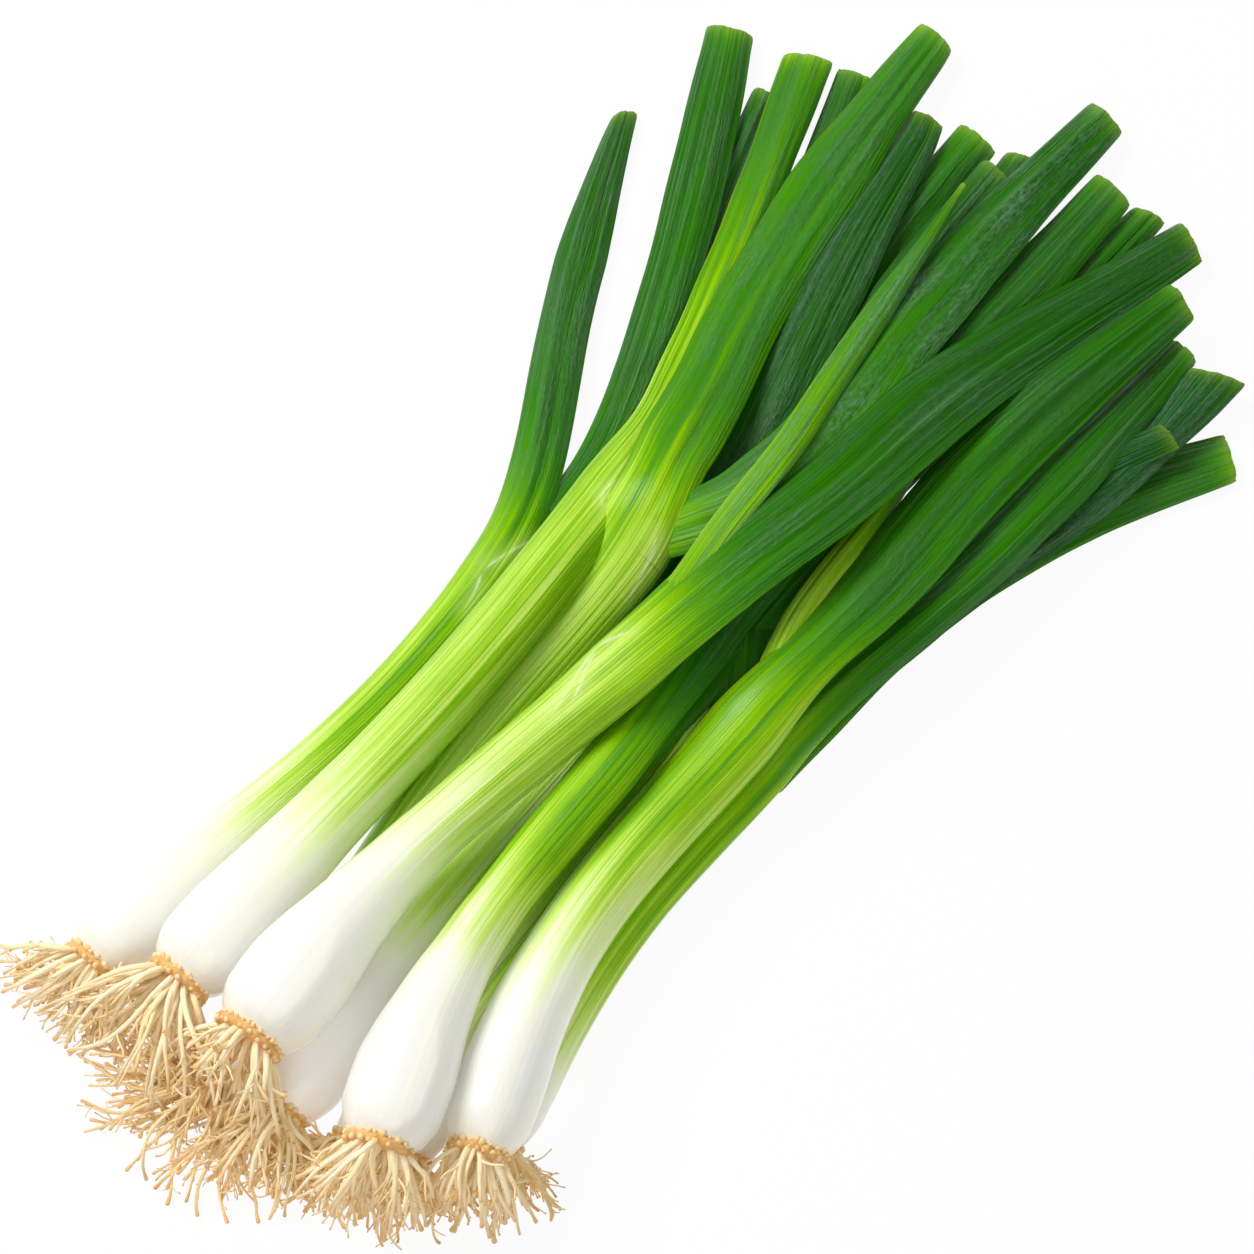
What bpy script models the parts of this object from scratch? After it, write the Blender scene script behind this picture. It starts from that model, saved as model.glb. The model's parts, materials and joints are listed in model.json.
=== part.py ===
"""Spring onion bunch: ten spring onions with roots and cut leaves, lying loose in one heap.

Lengths are millimetres until the meshes are made. +X runs from the roots to the leaf tips, +Z is up,
and the heap lies on the ground plane z = 0. The plan of every piece is drawn below; its height is not:
pieces are laid one after another in the order of STACK, and each comes to rest on those below it.
"""

import math

import bmesh
import bpy
import numpy as np

MM = 0.001
CLEARANCE = 0.45  # kept between a piece and those it rests on
JOIN_GAP = 0.35  # kept between a stalk and what grows from its ends

# Each onion: plan of the stalk's centreline from root plate to fork, radius of the bulb, radius of
# the neck above it, half width and half height at the fork, and the root tuft's length, half width
# and yaw in degrees.
ONIONS = {
    "onion_1": ([(-152, 45), (-111, 41), (-56, 34), (-14, 34)], 11.0, 6.3, 7.0, 5.5, (20, 11, -18)),
    "onion_2": ([(-145, 23), (-102, 22), (-47, 19), (15, 20)], 12.0, 8.8, 8.6, 6.5, (24, 12, 4)),
    "onion_3": ([(-153, 3), (-92, 5.5), (-36, 6), (8, 3.5)], 5.8, 6.0, 7.5, 5.5, (30, 16, -34)),
    "onion_4": ([(-148, -2), (-101, -2), (-61, -8), (-25.5, -15.5)], 13.2, 7.6, 8.8, 6.5, (23, 12, 4)),
    "onion_5": ([(-153, -14), (-112, -12), (-72, -11), (-31, -12)], 10.0, 7.6, 7.2, 5.2, (23, 12, 6)),
    "onion_6": ([(-149, -30), (-116, -29), (-75, -28), (-18, -26)], 5.8, 4.8, 5.6, 4.0, (19, 9, -6)),
    "onion_7": ([(-151, -43), (-113, -31), (-80, -27), (-48, -27)], 12.3, 6.8, 7.5, 5.5, (21, 12, -6)),
    "onion_8": ([(-142, -47), (-107, -41), (-69, -39), (-18, -38)], 6.0, 4.8, 5.6, 4.0, (19, 9, 6)),
    "onion_9": ([(-136, -60), (-88, -45), (-49, -42), (-14, -44)], 10.6, 8.6, 9.6, 6.8, (20, 11, 6)),
    "onion_10": ([(-126, -63), (-87, -54), (-47, -51), (-14, -52)], 6.4, 5.8, 7.0, 5.0, (17, 9, 8)),
}

# Each leaf: layer it leaves the fork in, counted from below, plan points that it passes through
# after the fork, half width at the fork, along the blade and at the cut end, and half thickness.
LEAVES = {
    "onion_1_leaf_1": (0, [(24, 32), (71, 44), (154, 83)], 5.5, 6.6, 5.5, 2.6),
    "onion_1_leaf_2": (1, [(48, 59), (117, 90)], 6.5, 6.8, 3.2, 2.8),
    "onion_2_leaf_1": (0, [(60, 22), (164, 48)], 6.5, 5.5, 5.0, 2.5),
    "onion_2_leaf_2": (1, [(65, 30), (159, 61)], 7.0, 5.6, 5.4, 2.8),
    "onion_3_leaf_1": (0, [(31, -11), (87, -14), (192, -12)], 5.0, 8.6, 5.8, 2.8),
    "onion_3_leaf_2": (1, [(73, 21.5), (185, 38)], 7.5, 9.3, 5.6, 3.0),
    "onion_4_leaf_1": (0, [(17, -17), (69, -9), (146, 2.5)], 4.2, 3.9, 1.0, 2.0),
    "onion_4_leaf_2": (
        1, [(2.5, -20), (16, -22.5), (40.5, -28), (78.5, -30.5), (113.5, -35.5), (174, -51)],
        8.5, 8.8, 6.4, 3.2,
    ),
    "onion_5_leaf_1": (0, [(55, 31), (145, 65)], 5.5, 6.0, 4.5, 2.3),
    "onion_5_leaf_2": (1, [(77, 4), (163, 25)], 5.5, 7.0, 4.6, 2.4),
    "onion_6_leaf_1": (0, [(50, -12), (120, -8)], 4.6, 5.0, 3.6, 2.0),
    "onion_6_leaf_2": (1, [(78, 4), (168, 12)], 5.0, 7.0, 6.0, 2.3),
    "onion_7_leaf_1": (0, [(-18, -27), (74, -30), (176, -37)], 5.5, 6.5, 4.5, 2.4),
    "onion_7_leaf_2": (1, [(-6, -24), (81, -24), (175, -26)], 5.5, 7.0, 6.0, 2.5),
    "onion_8_leaf_1": (0, [(80, -14), (170, -1)], 5.0, 6.0, 4.0, 2.2),
    "onion_8_leaf_2": (1, [(83, -6), (160, 1)], 4.8, 5.4, 4.0, 2.0),
    "onion_9_leaf_1": (0, [(11, -33), (51, -28), (95, -24)], 6.0, 6.5, 4.5, 2.5),
    "onion_9_leaf_2": (1, [(19, -39), (44, -39), (86, -39)], 3.5, 3.2, 1.0, 1.8),
    "onion_9_leaf_3": (2, [(26, -48), (85, -52), (155, -61)], 8.5, 8.2, 5.6, 3.0),
    "onion_10_leaf_1": (0, [(38, -57), (86, -72), (129, -95)], 6.0, 7.0, 6.0, 2.5),
    "onion_10_leaf_2": (1, [(81, -62), (121, -80)], 4.2, 4.6, 3.2, 1.8),
    "onion_10_leaf_3": (2, [(75, -69), (113, -80), (144, -84)], 5.5, 7.5, 7.0, 2.3),
    "onion_10_leaf_4": (3, [(50, -62), (146, -68)], 6.0, 7.4, 4.4, 2.4),
}

# The heap from the bottom up. An onion's number lays its roots and stalk.
STACK = [
    "onion_6", "onion_8", "onion_10",
    "onion_10_leaf_1", "onion_10_leaf_2", "onion_10_leaf_3", "onion_10_leaf_4",
    "onion_6_leaf_1", "onion_8_leaf_1", "onion_6_leaf_2", "onion_8_leaf_2",
    "onion_5", "onion_5_leaf_1", "onion_5_leaf_2",
    "onion_1", "onion_1_leaf_1", "onion_1_leaf_2",
    "onion_3", "onion_2", "onion_2_leaf_1", "onion_2_leaf_2",
    "onion_9", "onion_9_leaf_1",
    "onion_7", "onion_7_leaf_1", "onion_7_leaf_2", "onion_9_leaf_2",
    "onion_3_leaf_1", "onion_3_leaf_2", "onion_9_leaf_3",
    "onion_4", "onion_4_leaf_1", "onion_4_leaf_2",
]  # fmt: skip

# The stalk's outline: distance from the root plate, and how much of the bulb's radius and of the
# neck's radius make up the radius there.
STALK_OUTLINE = [
    (0, 0.58, 0), (3, 0.8, 0), (8, 0.96, 0), (15, 1, 0), (24, 0.88, 0.1),
    (36, 0.5, 0.5), (52, 0.15, 0.85), (70, 0, 1),
]  # fmt: skip
FORK_SWELL = 14  # length over which the neck becomes the fork
STALK_SIDES = 12
STALK_RING = 9.0  # distance between rings
LEAF_SIDES = 10
LEAF_RING = 12.0
LEAF_OPENS = 16  # length over which a leaf reaches its own thickness
LEAF_TAPER = 0.7  # share of the length after which it narrows to the cut end

PLATE = 0.55  # radius of the root plate over that of the bulb
PLATE_THICKNESS = 3.0
TUFT_SIDES = 20
TUFT_GROOVE = 0.16  # depth of the grooves between strands, over the radius
TUFT_HEIGHTS = [(0, 0.55), (0.12, 0.6), (0.3, 0.55), (0.65, 0.42), (1, 0.26)]  # over the bulb radius
TUFT_RING = 5.0

STALK_DROP, LEAF_DROP, TUFT_DROP = 0.2, 0.22, 0.35  # steepest fall away from a support
STALK_STIFF, LEAF_STIFF, TUFT_STIFF = (41, 60), (25, 30), (9, 10)  # reach and rounds of straightening
ANCHOR_REACH = 10.0
FLATTENED = 0.3  # how far a piece gives where it lies on the ground
SAMPLE = 1.0  # between samples along a piece
CELL = 0.5  # of the height field
FIELD_MIN = np.array([-205.0, -130.0])
FIELD_CELLS = (860, 500)

COLOURS = {
    "stalk": ((0.72, 0.83, 0.42), 0.35),
    "leaf": ((0.06, 0.22, 0.03), 0.45),
    "roots": ((0.78, 0.58, 0.32), 0.8),
}


def smooth_path(points, start_direction=None):
    """A cubic spline through plan points, clamped at its start if a direction is given."""
    points = np.array(points, float)
    spans = np.linalg.norm(np.diff(points, axis=0), axis=1)
    knots = np.concatenate([[0], np.cumsum(spans)])
    count = len(points)
    system = np.eye(count)
    known = np.zeros((count, 2))
    slopes = np.diff(points, axis=0) / spans[:, None]
    for i in range(1, count - 1):
        system[i, i - 1 : i + 2] = spans[i - 1], 2 * (spans[i - 1] + spans[i]), spans[i]
        known[i] = 6 * (slopes[i] - slopes[i - 1])
    if start_direction is not None:
        system[0, :2] = 2 * spans[0], spans[0]
        known[0] = 6 * (slopes[0] - start_direction)
    bends = np.linalg.solve(system, known)
    along = np.linspace(0, knots[-1], 400)
    k = np.clip(np.searchsorted(knots, along, "right") - 1, 0, count - 2)
    span = spans[k][:, None]
    a = (knots[k + 1] - along)[:, None] / span
    b = 1 - a
    curve = ((a**3 - a) * bends[k] + (b**3 - b) * bends[k + 1]) * span**2 / 6
    return a * points[k] + b * points[k + 1] + curve


def even_rings(path, spacing):
    """Points at about this spacing along a path, and their distances."""
    reach = np.concatenate([[0], np.cumsum(np.linalg.norm(np.diff(path, axis=0), axis=1))])
    count = max(3, round(reach[-1] / spacing) + 1)
    at = np.linspace(0, reach[-1], count)
    return np.stack([np.interp(at, reach, path[:, k]) for k in (0, 1)], axis=1), at


def sideways(centres, start_direction=None):
    """Unit vectors across a centreline, to its left."""
    forward = np.gradient(centres, axis=0)
    if start_direction is not None:
        forward[0] = start_direction
    forward /= np.linalg.norm(forward, axis=1)[:, None]
    return np.stack([-forward[:, 1], forward[:, 0]], axis=1)


class Piece:
    """A tube of upright elliptical rings: centres, half widths, half heights and, once laid, levels."""

    def __init__(self, sides, centres, at, half_width, half_height, start_direction=None):
        self.sides, self.centres, self.at = sides, centres, at
        self.half_width, self.half_height = half_width, half_height
        self.across = sideways(centres, start_direction)
        self.levels = half_height.copy()

    def samples(self, spacing):
        """Ring values read at a fine spacing along the piece."""
        fine = np.linspace(0, self.at[-1], round(self.at[-1] / spacing) + 1)

        def read(values):
            return np.interp(fine, self.at, values)

        centres = np.stack([read(self.centres[:, k]) for k in (0, 1)], axis=1)
        across = np.stack([read(self.across[:, k]) for k in (0, 1)], axis=1)
        return fine, centres, across, read(self.half_width), read(self.half_height)


def cells_of(points):
    index = np.round((points - FIELD_MIN) / CELL).astype(int)
    return tuple(np.clip(index[..., k], 0, FIELD_CELLS[k] - 1) for k in (0, 1))


class Heap:
    """What has been laid so far, as the height of each piece's top over the plan."""

    def __init__(self):
        self.tops = {}

    def surface(self, without):
        field = np.zeros(FIELD_CELLS)
        for name, top in self.tops.items():
            if name not in without:
                field = np.maximum(field, top)
        widened = field
        for axis in (0, 1):
            for shift in (-1, 1):
                widened = np.maximum(widened, np.roll(field, shift, axis))
        return widened

    def rest(self, piece, without=(), anchor=None, drop=0.2, stiff=(25, 30)):
        """Sets the piece's levels so that it lies on the ground and on what is below it."""
        fine, centres, across, width, height = piece.samples(SAMPLE)
        share = np.linspace(-1, 1, 25)
        points = centres[:, None] + across[:, None] * (width[:, None] * share)[..., None]
        below = self.surface(without)[cells_of(points)]
        belly = height[:, None] * np.sqrt(1 - share**2)
        needed = np.where(below > 0, below + CLEARANCE + belly, 0).max(axis=1)
        needed = np.maximum(needed, height * math.cos(math.pi / piece.sides) - FLATTENED)
        if anchor is not None:
            needed = np.maximum(needed, anchor - drop * fine)
        reach, rounds = stiff
        weights = np.hanning(reach + 2)[1:-1]
        weights /= weights.sum()
        levels = needed
        for _ in range(rounds):
            padded = np.pad(levels, reach // 2, mode="edge")
            levels = np.maximum(needed, np.convolve(padded, weights, "valid"))
        if anchor is not None:
            levels = levels - (levels[0] - anchor) * np.exp(-fine / ANCHOR_REACH)
        piece.levels = np.interp(piece.at, fine, levels)
        short = needed - np.interp(fine, piece.at, piece.levels)
        span = np.clip(np.searchsorted(piece.at, fine, "right") - 1, 0, len(piece.at) - 2)
        raised = np.zeros(len(piece.at))
        for k in (0, 1):
            np.maximum.at(raised, span + k, short)
        if anchor is not None:
            raised[0] = 0
        piece.levels += raised

    def lay(self, name, piece):
        fine, centres, across, width, height = piece.samples(CELL / 1.5)
        levels = np.interp(fine, piece.at, piece.levels)
        share = np.linspace(-1, 1, 81)
        points = centres[:, None] + across[:, None] * (width[:, None] * share)[..., None]
        top = np.zeros(FIELD_CELLS)
        arch = levels[:, None] + height[:, None] * np.sqrt(1 - share**2)
        np.maximum.at(top, cells_of(points), arch)
        self.tops[name] = top


def stalk_piece(onion):
    plan, bulb, neck, fork_width, fork_height, _ = ONIONS[onion]
    centres, at = even_rings(smooth_path(plan), STALK_RING)
    centres = np.insert(centres, 1, centres[0] + (centres[1] - centres[0]) / 3, axis=0)
    at = np.insert(at, 1, at[1] / 3)
    marks = [mark for mark, _, _ in STALK_OUTLINE] + [at[-1] - FORK_SWELL, at[-1]]
    radii = [of_bulb * bulb + of_neck * neck for _, of_bulb, of_neck in STALK_OUTLINE]
    half_width = np.interp(at, marks, radii + [(neck + fork_width) / 2, fork_width])
    half_height = np.interp(at, marks, radii + [(neck + fork_height) / 2, fork_height])
    return Piece(STALK_SIDES, centres, at, half_width, half_height)


def tuft_piece(onion, stalk):
    _, bulb, _, _, _, (length, spread, yaw) = ONIONS[onion]
    back = stalk.centres[0] - stalk.centres[1]
    back /= np.linalg.norm(back)
    turn = math.radians(yaw)
    end = np.array(
        [
            back[0] * math.cos(turn) - back[1] * math.sin(turn),
            back[0] * math.sin(turn) + back[1] * math.cos(turn),
        ]
    )
    start = stalk.centres[0] + back * JOIN_GAP
    path = smooth_path([start, start + back * PLATE_THICKNESS, start + end * length], back)
    centres, at = even_rings(path, TUFT_RING)
    share = at / at[-1]
    plate = PLATE * bulb
    half_width = np.interp(share, [0, 0.12, 0.6, 1], [plate, plate * 1.1, spread, spread * 0.85])
    half_height = bulb * np.interp(share, *zip(*TUFT_HEIGHTS))
    return Piece(TUFT_SIDES, centres, at, half_width, half_height, back)


def leaf_piece(leaf, stalk, layers):
    layer, plan, at_fork, blade, cut, thickness = LEAVES[leaf]
    direction = stalk.centres[-1] - stalk.centres[-2]
    direction /= np.linalg.norm(direction)
    start = stalk.centres[-1] + direction * JOIN_GAP
    centres, at = even_rings(smooth_path([start, *plan], direction), LEAF_RING)
    share = at / at[-1]
    half_width = np.interp(share, [0, 0.2, LEAF_TAPER, 1], [at_fork, blade, blade, cut])
    room = stalk.half_height[-1] / layers
    half_height = np.interp(at, [0, LEAF_OPENS], [room - CLEARANCE / 2, thickness])
    half_height = np.minimum(half_height, np.interp(share, [0.8, 1], [thickness, thickness * 0.8]))
    anchor = stalk.levels[-1] - stalk.half_height[-1] + (2 * layer + 1) * room
    return Piece(LEAF_SIDES, centres, at, half_width, half_height, direction), anchor


def build_heap():
    """All pieces by name, resting on one another."""
    heap, pieces = Heap(), {}
    for name in STACK:
        if name in ONIONS:
            stalk = stalk_piece(name)
            heap.rest(stalk, drop=STALK_DROP, stiff=STALK_STIFF)
            heap.lay(name + "_stalk", stalk)
            tuft = tuft_piece(name, stalk)
            own = (name + "_stalk",)
            heap.rest(tuft, own, stalk.levels[0], TUFT_DROP, TUFT_STIFF)
            heap.lay(name + "_roots", tuft)
            pieces[name + "_stalk"] = stalk
            pieces[name + "_roots"] = tuft
            continue
        onion = name.split("_leaf")[0]
        stalk = pieces[onion + "_stalk"]
        layers = sum(other.startswith(onion + "_leaf") for other in LEAVES)
        leaf, anchor = leaf_piece(name, stalk, layers)
        own = (onion + "_stalk", onion + "_roots")
        heap.rest(leaf, own, anchor, LEAF_DROP, LEAF_STIFF)
        heap.lay(name, leaf)
        pieces[name] = leaf
    return pieces


def ring_points(piece, ring, groove):
    """One ring's corners, with a flat side down, and every second one pulled in by the groove."""
    x, y = piece.centres[ring]
    across = piece.across[ring]
    corners = []
    for k in range(piece.sides):
        angle = 2 * math.pi * (k + 0.5) / piece.sides
        radius = 1 - groove * (k % 2)
        side = piece.half_width[ring] * radius * math.cos(angle)
        up = piece.levels[ring] + piece.half_height[ring] * radius * math.sin(angle)
        corners.append((x + across[0] * side, y + across[1] * side, max(up, 0.0)))
    return corners


def tube_mesh(name, piece):
    """A closed tube through the piece's rings. Root tufts are grooved beyond the plate."""
    mesh = bmesh.new()
    rings = []
    for ring in range(len(piece.centres)):
        groove = TUFT_GROOVE if ring > 0 and kind_of(name) == "roots" else 0
        rings.append([mesh.verts.new(corner) for corner in ring_points(piece, ring, groove)])
    for near, far in zip(rings, rings[1:]):
        for k in range(piece.sides):
            after = (k + 1) % piece.sides
            mesh.faces.new((near[k], near[after], far[after], far[k]))
    mesh.faces.new(rings[0][::-1])
    mesh.faces.new(rings[-1])
    bmesh.ops.recalc_face_normals(mesh, faces=mesh.faces)
    data = bpy.data.meshes.new(name)
    mesh.to_mesh(data)
    mesh.free()
    return data


def material_of(kind):
    colour, roughness = COLOURS[kind]
    material = bpy.data.materials.new("spring_onion_" + kind)
    material.use_nodes = True
    shader = material.node_tree.nodes["Principled BSDF"]
    shader.inputs["Base Color"].default_value = (*colour, 1)
    shader.inputs["Roughness"].default_value = roughness
    shader.inputs["Metallic"].default_value = 0
    material.diffuse_color = (*colour, 1)
    return material


def kind_of(name):
    return "leaf" if "_leaf" in name else name.rsplit("_", 1)[1]


def main():
    for old in list(bpy.data.objects):
        bpy.data.objects.remove(old, do_unlink=True)
    parts = bpy.data.collections.new("spring_onion_bunch")
    bpy.context.scene.collection.children.link(parts)
    pieces = build_heap()
    meshes = {name: tube_mesh(name, piece) for name, piece in pieces.items()}
    corners = np.array([tuple(v.co) for data in meshes.values() for v in data.vertices])
    middle = (corners.min(axis=0) + corners.max(axis=0)) / 2
    materials = {kind: material_of(kind) for kind in COLOURS}
    for name, data in meshes.items():
        for vertex in data.vertices:
            vertex.co.x = (vertex.co.x - middle[0]) * MM
            vertex.co.y = (vertex.co.y - middle[1]) * MM
            vertex.co.z *= MM
        data.materials.append(materials[kind_of(name)])
        parts.objects.link(bpy.data.objects.new(name, data))


main()
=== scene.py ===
"""The look of a spring onion bunch: ten onions with roots and cut leaves, lying in one loose heap.

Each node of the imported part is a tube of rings. Its centreline, width and thickness are read from
the node's own mesh, in millimetres, and a finer skin is grown along it.
"""

import json
import math

import bpy
import numpy as np
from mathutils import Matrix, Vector

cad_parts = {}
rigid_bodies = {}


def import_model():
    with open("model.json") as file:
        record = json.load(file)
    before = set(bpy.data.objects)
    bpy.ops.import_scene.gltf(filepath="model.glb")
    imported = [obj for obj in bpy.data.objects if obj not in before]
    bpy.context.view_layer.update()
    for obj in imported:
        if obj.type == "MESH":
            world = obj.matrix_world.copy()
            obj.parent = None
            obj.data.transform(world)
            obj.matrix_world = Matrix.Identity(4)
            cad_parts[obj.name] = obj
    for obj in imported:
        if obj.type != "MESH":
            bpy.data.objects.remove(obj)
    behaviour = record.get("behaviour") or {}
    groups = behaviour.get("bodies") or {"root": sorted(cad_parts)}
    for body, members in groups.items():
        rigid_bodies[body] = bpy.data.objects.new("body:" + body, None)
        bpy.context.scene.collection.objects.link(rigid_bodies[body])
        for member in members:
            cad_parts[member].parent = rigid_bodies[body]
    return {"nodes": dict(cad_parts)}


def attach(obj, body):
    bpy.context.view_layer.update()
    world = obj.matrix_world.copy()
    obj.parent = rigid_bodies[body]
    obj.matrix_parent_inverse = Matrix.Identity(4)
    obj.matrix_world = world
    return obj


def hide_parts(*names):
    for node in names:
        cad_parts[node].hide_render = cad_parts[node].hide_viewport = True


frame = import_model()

STARTUP = ("Cube", "Light", "Camera")  # what a plain start of Blender has in its scene
for thing in [thing for thing in bpy.data.objects if thing.name in STARTUP]:
    bpy.data.objects.remove(thing, do_unlink=True)
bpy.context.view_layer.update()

MM = 0.001
SIDES = {"stalk": 12, "leaf": 10, "roots": 20}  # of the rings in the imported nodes

# Each onion: distance from the roots where the white ends, how far on it is lime, and tone at the
# fork.
ONIONS = {
    "onion_1": (40, 46, 0.50),
    "onion_2": (38, 62, 0.46),
    "onion_3": (36, 56, 0.42),
    "onion_4": (50, 60, 0.43),
    "onion_5": (34, 48, 0.40),
    "onion_6": (34, 45, 0.48),
    "onion_7": (42, 40, 0.51),
    "onion_8": (20, 36, 0.50),
    "onion_9": (40, 55, 0.48),
    "onion_10": (14, 36, 0.50),
}

# Each leaf: tone past the fork and at the far end, bluish bloom, and slant of the cut in mm. The
# last leaf of an onion is the outermost, which its sheath runs on into.
LEAVES = {
    "onion_1_leaf_1": (0.78, 0.82, 0.1, 0.6),
    "onion_1_leaf_2": (0.76, 0.84, 0.25, -1.6),
    "onion_2_leaf_1": (0.80, 0.84, 0.2, 0.8),
    "onion_2_leaf_2": (0.50, 0.68, 0.1, -0.8),
    "onion_3_leaf_1": (0.72, 0.86, 0.7, 1.0),
    "onion_3_leaf_2": (0.66, 0.72, 0.3, 1.4),
    "onion_4_leaf_1": (0.52, 0.68, 0.9, 0.0),
    "onion_4_leaf_2": (0.79, 0.87, 0.2, 1.4),
    "onion_5_leaf_1": (0.80, 0.90, 0.3, 0.5),
    "onion_5_leaf_2": (0.84, 0.92, 0.35, 0.7),
    "onion_6_leaf_1": (0.84, 0.88, 0.3, 0.0),
    "onion_6_leaf_2": (0.78, 0.80, 0.15, 0.8),
    "onion_7_leaf_1": (0.78, 0.84, 0.1, -0.9),
    "onion_7_leaf_2": (0.80, 0.82, 0.1, 1.2),
    "onion_8_leaf_1": (0.84, 0.88, 0.3, -0.8),
    "onion_8_leaf_2": (0.82, 0.86, 0.3, 0.6),
    "onion_9_leaf_1": (0.82, 0.86, 0.2, 0.5),
    "onion_9_leaf_2": (0.44, 0.72, 0.1, 0.0),
    "onion_9_leaf_3": (0.72, 0.84, 0.1, 1.4),
    "onion_10_leaf_1": (0.72, 0.76, 0.1, 1.0),
    "onion_10_leaf_2": (0.95, 1.0, 0.3, -0.5),
    "onion_10_leaf_3": (0.90, 0.96, 0.5, -3.0),
    "onion_10_leaf_4": (0.80, 0.82, 0.1, 0.8),
}

# Tone 0 is the white bulb, 1 the bluest green, as sRGB colours.
TONES = [
    (0.00, (233, 232, 229)), (0.12, (240, 242, 220)), (0.22, (228, 243, 172)),
    (0.34, (192, 228, 84)), (0.46, (142, 196, 0)), (0.58, (84, 154, 0)),
    (0.70, (50, 128, 0)), (0.82, (30, 98, 2)), (0.92, (26, 86, 18)), (1.00, (28, 80, 38)),
]  # fmt: skip
BLOOM = (150, 188, 160)
DARK_VEIN, LIGHT_VEIN = (6, 44, 0), (96, 172, 62)
SHEATH_EDGE, BESIDE_EDGE = (236, 244, 206), (214, 236, 130)
# The first colour is the paler cut flesh; the second is painted shade inside the open end of a cut
# leaf.
CUT_RIM, CUT_HOLLOW_SHADE = (150, 190, 60), (28, 62, 18)
BULB_FOOT = (236, 214, 172)
ROOT_CREAM, ROOT_STRAW, ROOT_GOLD, ROOT_BROWN = (
    (255, 243, 208), (250, 216, 146), (222, 160, 76), (138, 84, 28),
)  # fmt: skip

# The pale edges of the sheath round a fork: distance past the fork in mm, and place across the
# stalk from -1 at its right side to 1 at its left.
COLLARS = {
    "onion_1": [[(14, -0.9), (6, -0.35), (0, 0.0)], [(-1, 0.0), (-5, -0.2), (-12, -0.35)]],
    "onion_2": [[(7, -0.2), (1, -0.05), (-2, -0.3)]],
    "onion_3": [[(6, -0.55), (0, -0.7), (-9, -0.85)]],
    "onion_4": [
        [(9, 0.45), (5, 0.66), (0, 0.84)], [(0, 0.84), (-6, 0.62), (-17, 0.1)],
        [(-1, 0.82), (-8, 0.55), (-20, 0.0)], [(0, 0.78), (-6, 0.42), (-15, -0.15)],
    ],
}
NO_COLLAR = 9.0  # distance given where there is no edge near

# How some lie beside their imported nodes: distance past the fork, and shift to the left and up, in
# mm.
SWAY = {
    "onion_3": [
        (-140, 0, 0), (-90, 2.5, 0), (0, 4, 0), (25, 5, 0), (60, 1.5, 0), (110, -1, 0), (180, 0, 0),
    ],
    "onion_3_leaf_1": [(-8, 0, -1), (4, -0.5, 1), (24, 0, 4), (60, 1, 3), (120, 0, 0)],
    "onion_4_leaf_1": [(-8, 2, 0), (2, 3.0, 3), (16, 2.5, 7), (40, 3, 7), (80, 0, 3), (150, 0, 0)],
    "onion_1_leaf_1": [(-8, 0, 0), (25, -2, 2), (70, 0, 0)],
    "onion_9": [(-90, 0, 0), (-10, -1.2, 0), (40, -1, 0), (95, 2, 0), (140, 1.5, 0), (190, 0, 0)],
    "onion_9_leaf_1": [(-8, 1, 0), (8, 4, 2), (30, 5, 4), (90, 2, 2)],
    "onion_8": [(-170, 2.5, 0), (-60, 1.5, 0), (0, 0, 0)],
    "onion_9_leaf_2": [(-8, 0, 0), (8, 1, 3), (35, 1, 5), (70, 3, 2), (110, 8, -2)],
    "onion_10": [(-170, 4, 0), (-60, 2, 0), (0, 0, 0)],
    "onion_10_leaf_1": [(0, 0, 0), (60, 3, 0), (110, 3.5, 0), (160, 1, 0)],
    "onion_10_leaf_2": [(0, 0, 0), (80, 0, 2), (120, 0, 6), (160, 0, 6)],
    "onion_5": [(0, 0, 0), (60, 2.5, 0), (150, 2.5, 0), (190, 0, 0)],
    "onion_10_leaf_3": [(0, 0, 0), (90, 0, 0), (165, 6, 0)],
}

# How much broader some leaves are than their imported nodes, by distance past the fork.
BREADTH = {
    "onion_1_leaf_1": [(0, 1), (60, 1.05), (150, 1.18)],
    "onion_2_leaf_1": [(0, 1), (160, 1.2)],
    "onion_2_leaf_2": [(0, 1), (30, 1.1), (110, 1.1), (150, 1.25)],
    "onion_3_leaf_1": [(0, 1.1), (20, 1.3), (70, 1.25), (130, 1.05)],
    "onion_3_leaf_2": [(0, 1), (14, 1.05), (40, 1.1), (80, 1.04), (190, 1.05)],
    "onion_4_leaf_2": [(0, 1), (60, 1.14), (105, 1.24), (140, 1.12), (180, 1)],
    "onion_5_leaf_1": [(0, 1.0), (120, 1.0), (160, 0.7)],
    "onion_5_leaf_2": [(0, 1.2), (160, 1.25), (200, 1)],
    "onion_6_leaf_1": [(0, 1.3), (160, 1.3)],
    "onion_6_leaf_2": [(0, 1.1), (120, 1.15), (190, 1.05)],
    "onion_7_leaf_1": [(0, 1), (40, 1.2), (190, 1.2), (230, 1)],
    "onion_7_leaf_2": [(0, 1), (40, 1.2), (190, 1.2), (230, 1)],
    "onion_8_leaf_1": [(0, 1.1), (180, 1.2)],
    "onion_8_leaf_2": [(0, 1.1), (180, 1.15)],
    "onion_9_leaf_1": [(0, 1.1), (50, 1.4), (110, 1.5)],
    "onion_9_leaf_3": [(0, 1), (22, 0.92), (70, 1.24), (150, 1.12), (190, 1)],
    "onion_10_leaf_1": [(0, 1.1), (110, 1.25), (165, 1.1)],
    "onion_10_leaf_2": [(0, 1.1), (150, 1.3)],
    "onion_10_leaf_3": [(0, 1), (90, 0.75), (130, 0.7), (155, 1.05), (180, 1.2)],
}

# How much broader some stalks grow towards the fork.
FULLER = {"onion_3": 1.5, "onion_5": 1.1, "onion_6": 1.2, "onion_8": 1.5}
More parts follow.
